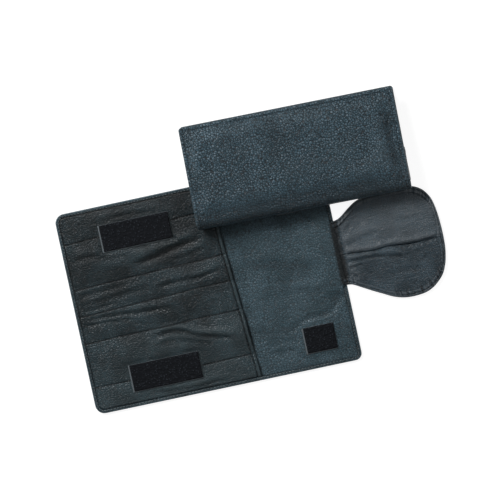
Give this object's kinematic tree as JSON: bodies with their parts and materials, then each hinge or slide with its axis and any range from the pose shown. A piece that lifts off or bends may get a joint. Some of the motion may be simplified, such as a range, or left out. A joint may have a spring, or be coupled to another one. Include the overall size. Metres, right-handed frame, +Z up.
{
  "type": "scissor case set",
  "caption": "Leather scissor cases: one open with sewn pockets, closure patches and a rounded flap, one folded shut lying on it.",
  "frame": {"origin": "under the open case, on the spine's underside, in the middle of its fold", "axes": "+X along the fold towards the flap, +Y towards the far half and the closed case, +Z up"},
  "size_m": [0.34, 0.2381, 0.0229],
  "materials": {
    "cover_leather": "pebble grained, satin",
    "lining_leather": "fine grained, matte",
    "pocket_leather": "soft, fine grained, slightly creased",
    "flap_leather": "thin, glossy, creased",
    "closure_tape": "matte pile"
  },
  "bodies": {
    "open_far_half": {"open_cover_far": "cover_leather", "open_spine": "cover_leather", "open_edge_hem_far": "cover_leather", "open_lining_far": "lining_leather", "open_pocket_panel_far": "pocket_leather", "open_mouth_hem_far": "pocket_leather", "open_long_patch_far": "closure_tape", "open_square_patch_far": "closure_tape", "open_flap_root_far": "flap_leather"},
    "open_near_half": {"open_cover_near": "cover_leather", "open_edge_hem_near": "cover_leather", "open_lining_near": "lining_leather", "open_pocket_panel_near": "pocket_leather", "open_mouth_hem_near": "pocket_leather", "open_long_patch_near": "closure_tape", "open_square_patch_near": "closure_tape", "open_flap_root_near": "flap_leather"},
    "open_flap_far_half": {"open_flap_far": "flap_leather", "open_flap_lining_far": "lining_leather"},
    "open_flap_near_half": {"open_flap_near": "flap_leather", "open_flap_lining_near": "lining_leather"},
    "closed_rear_half": {"closed_cover_rear": "cover_leather", "closed_spine": "cover_leather", "closed_edge_hem_rear": "cover_leather", "closed_lining_rear": "lining_leather", "closed_pocket_panel_rear": "pocket_leather", "closed_mouth_hem_rear": "pocket_leather", "closed_long_patch_rear": "closure_tape", "closed_square_patch_rear": "closure_tape", "closed_flap_root_rear": "flap_leather", "closed_flap_rear": "flap_leather", "closed_flap_lining_rear": "lining_leather"},
    "closed_front_half": {"closed_cover_front": "cover_leather", "closed_edge_hem_front": "cover_leather", "closed_lining_front": "lining_leather", "closed_pocket_panel_front": "pocket_leather", "closed_mouth_hem_front": "pocket_leather", "closed_long_patch_front": "closure_tape", "closed_square_patch_front": "closure_tape", "closed_flap_root_front": "flap_leather", "closed_flap_front": "flap_leather", "closed_flap_lining_front": "lining_leather"}
  },
  "joints": [
    {"name": "open_case_fold", "type": "hinge", "parent": "open_far_half", "child": "open_near_half", "pos_m": [0, 0, 0.0079], "axis": [-1, 0, 0], "range_deg": [0, 165], "deforming": ["open_spine"]},
    {"name": "flap_far_swing", "type": "hinge", "parent": "open_far_half", "child": "open_flap_far_half", "pos_m": [0.1253, 0, 0.0035], "axis": [0, -1, 0], "range_deg": [0, 180]},
    {"name": "flap_near_swing", "type": "hinge", "parent": "open_near_half", "child": "open_flap_near_half", "pos_m": [0.1253, 0, 0.0035], "axis": [0, -1, 0], "range_deg": [0, 180]},
    {"name": "closed_case_lift", "type": "slide", "parent": "open_far_half", "child": "closed_rear_half", "axis": [0, 0, 1], "range_m": [0, 0.15]},
    {"name": "closed_case_open", "type": "hinge", "parent": "closed_rear_half", "child": "closed_front_half", "pos_m": [0.10141, 0.06055, 0.01499], "axis": [0.9998, -0.0175, 0], "range_deg": [0, 180], "deforming": ["closed_spine"]}
  ],
  "couplings": [
    {"joint": "flap_near_swing", "follows": "flap_far_swing", "ratio": 1},
    {"joint": "closed_case_open", "follows": "closed_case_lift", "rad_per_m": 20.94}
  ]
}
